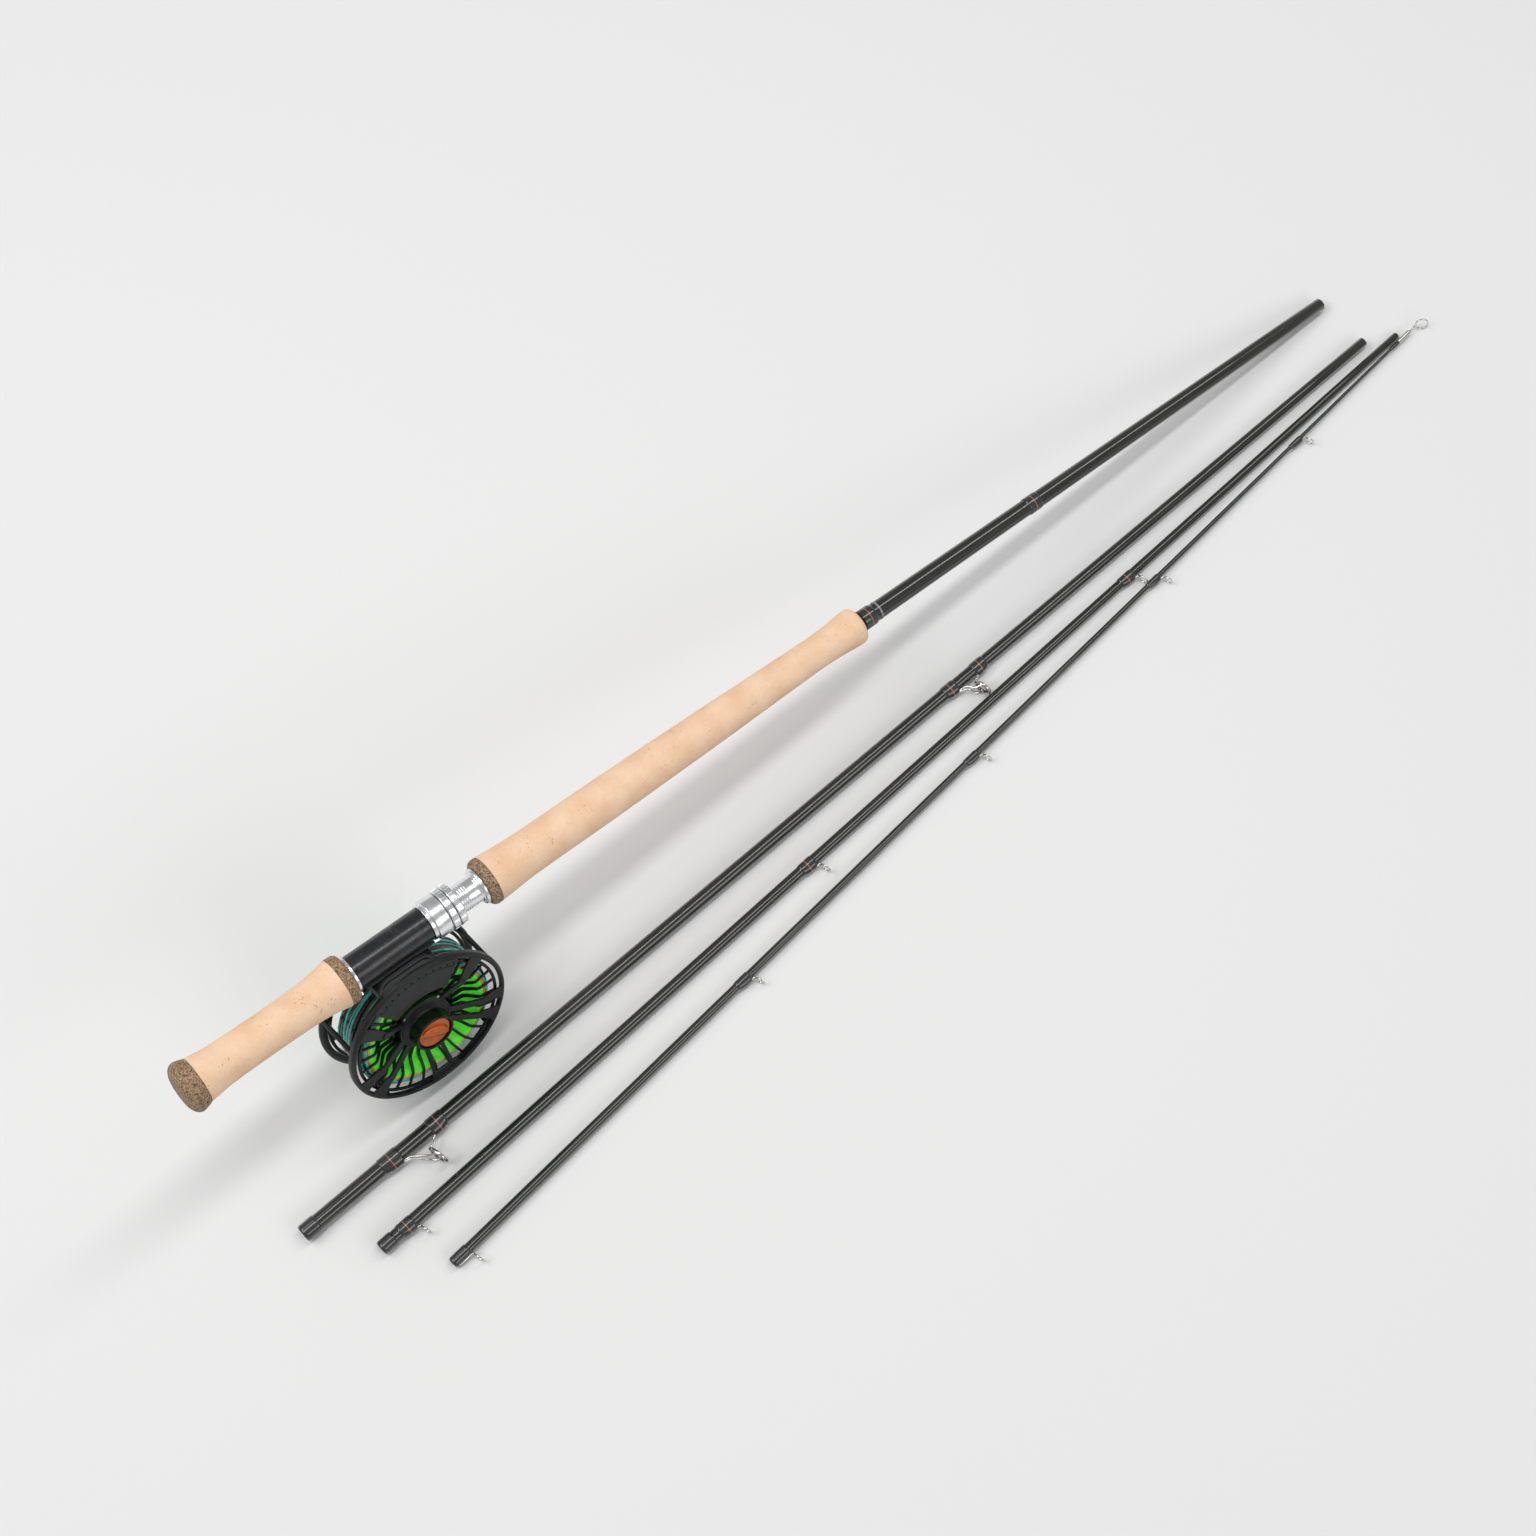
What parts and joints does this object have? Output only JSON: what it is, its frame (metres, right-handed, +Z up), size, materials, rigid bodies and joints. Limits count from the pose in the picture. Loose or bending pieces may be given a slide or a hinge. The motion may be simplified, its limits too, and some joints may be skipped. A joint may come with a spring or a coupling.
{
  "type": "fly fishing rod and reel",
  "caption": "Two-handed fly rod taken down into its sections, with a full-cage fly reel and line on the butt section; the reel turns, its drag and seat nuts turn, and each section lifts.",
  "frame": {"origin": "centre of the bottom of the bounding box, on the surface that the parts lie on", "axes": "+X along the butt section from its cap towards its top end, +Z up, -Y towards the drag side of the reel and the loose sections"},
  "size_m": [0.9038, 0.1646, 0.1477],
  "materials": {
    "carbon": "glossy dark olive-grey varnish over carbon fibre",
    "thread": "black thread under glossy varnish with a fine copper line",
    "cork": "sanded natural cork with dark pits",
    "burl_cork": "speckled burl cork",
    "seat_black": "satin black anodised with faint marbling",
    "bright_aluminium": "polished",
    "black_anodised": "matte black anodised",
    "orange_anodised": "satin orange anodised",
    "steel": "brushed",
    "carbon_disc": "woven carbon friction disc",
    "guide_chrome": "polished wire",
    "backing_green": "braided backing",
    "line_orange": "coated line",
    "line_teal": "coated line"
  },
  "bodies": {
    "butt": {"butt_blank": "carbon", "butt_cap": "burl_cork", "lower_grip": "cork", "lower_grip_ring": "burl_cork", "foregrip_ring": "burl_cork", "foregrip": "cork", "winding_check": "bright_aluminium", "butt_wrap": "thread", "seat_fixed_hood": "bright_aluminium", "seat_body": "seat_black", "seat_barrel": "bright_aluminium", "reel_frame": "black_anodised", "reel_foot": "black_anodised", "foot_screw_1": "steel", "foot_screw_2": "steel", "hub_collar": "black_anodised", "spindle": "steel", "drag_housing": "black_anodised", "drag_spring": "steel", "pressure_plate": "steel", "drag_disc_front": "carbon_disc", "drag_disc_rear": "carbon_disc"},
    "spool": {"spool": "black_anodised", "backing": "backing_green", "running_line": "line_orange", "fly_line": "line_teal", "drag_rotor": "steel", "one_way_clutch": "steel", "spool_bearing": "steel", "handle_pin": "steel", "counterweight": "bright_aluminium"},
    "handle": {"handle_knob": "black_anodised"},
    "drag_knob": {"drag_knob": "orange_anodised"},
    "spool_cap": {"spool_cap": "black_anodised"},
    "hood": {"sliding_hood": "bright_aluminium"},
    "lock_nut": {"lock_nut": "bright_aluminium"},
    "jam_nut": {"jam_nut": "bright_aluminium"},
    "section_2": {"blank_2": "carbon", "ferrule_wrap_2": "thread", "stripper_frame_1": "guide_chrome", "stripper_insert_1": "guide_chrome", "stripper_wrap_1_lower": "thread", "stripper_wrap_1_upper": "thread", "stripper_frame_2": "guide_chrome", "stripper_insert_2": "guide_chrome", "stripper_wrap_2_lower": "thread", "stripper_wrap_2_upper": "thread"},
    "section_3": {"blank_3": "carbon", "ferrule_wrap_3": "thread", "guide_3_1": "guide_chrome", "guide_3_2": "guide_chrome", "guide_3_3": "guide_chrome"},
    "section_4": {"blank_4": "carbon", "ferrule_wrap_4": "thread", "guide_4_1": "guide_chrome", "guide_4_2": "guide_chrome", "guide_4_3": "guide_chrome", "guide_4_4": "guide_chrome", "guide_4_5": "guide_chrome", "tip_top": "guide_chrome"}
  },
  "joints": [
    {"name": "spool_spin", "type": "hinge", "parent": "butt", "child": "spool", "pos_m": [-0.32184, 0.04775, 0.05455], "axis": [-0.0459, 0.9511, -0.3056], "continuous": true},
    {"name": "handle_knob_spin", "type": "hinge", "parent": "spool", "child": "handle", "pos_m": [-0.32257, 0.06288, 0.00873], "axis": [-0.0459, 0.9511, -0.3056], "continuous": true},
    {"name": "drag_knob_turn", "type": "hinge", "parent": "butt", "child": "drag_knob", "pos_m": [-0.32083, 0.02683, 0.06127], "axis": [-0.0459, 0.9511, -0.3056], "range_deg": [0, 300]},
    {"name": "spool_cap_turn", "type": "hinge", "parent": "spool", "child": "spool_cap", "pos_m": [-0.32252, 0.06202, 0.04997], "axis": [0.0459, -0.9511, 0.3056], "range_deg": [0, 90]},
    {"name": "hood_slide", "type": "slide", "parent": "butt", "child": "hood", "axis": [0.9889, 0, -0.1485], "range_m": [0, 0.0121]},
    {"name": "lock_nut_turn", "type": "hinge", "parent": "hood", "child": "lock_nut", "pos_m": [-0.27755, 0.06676, 0.10704], "axis": [0.9889, 0, -0.1485], "range_deg": [0, 2880]},
    {"name": "jam_nut_turn", "type": "hinge", "parent": "hood", "child": "jam_nut", "pos_m": [-0.2726, 0.06676, 0.1063], "axis": [0.9889, 0, -0.1485], "range_deg": [0, 2880]},
    {"name": "lift_2", "type": "slide", "parent": "butt", "child": "section_2", "axis": [0, 0, 1], "range_m": [0, 0.15]},
    {"name": "lift_3", "type": "slide", "parent": "butt", "child": "section_3", "axis": [0, 0, 1], "range_m": [0, 0.15]},
    {"name": "lift_4", "type": "slide", "parent": "butt", "child": "section_4", "axis": [0, 0, 1], "range_m": [0, 0.15]}
  ],
  "couplings": [
    {"joint": "hood_slide", "follows": "lock_nut_turn", "m_per_rad": 0.00023873},
    {"joint": "jam_nut_turn", "follows": "lock_nut_turn", "ratio": 1}
  ]
}
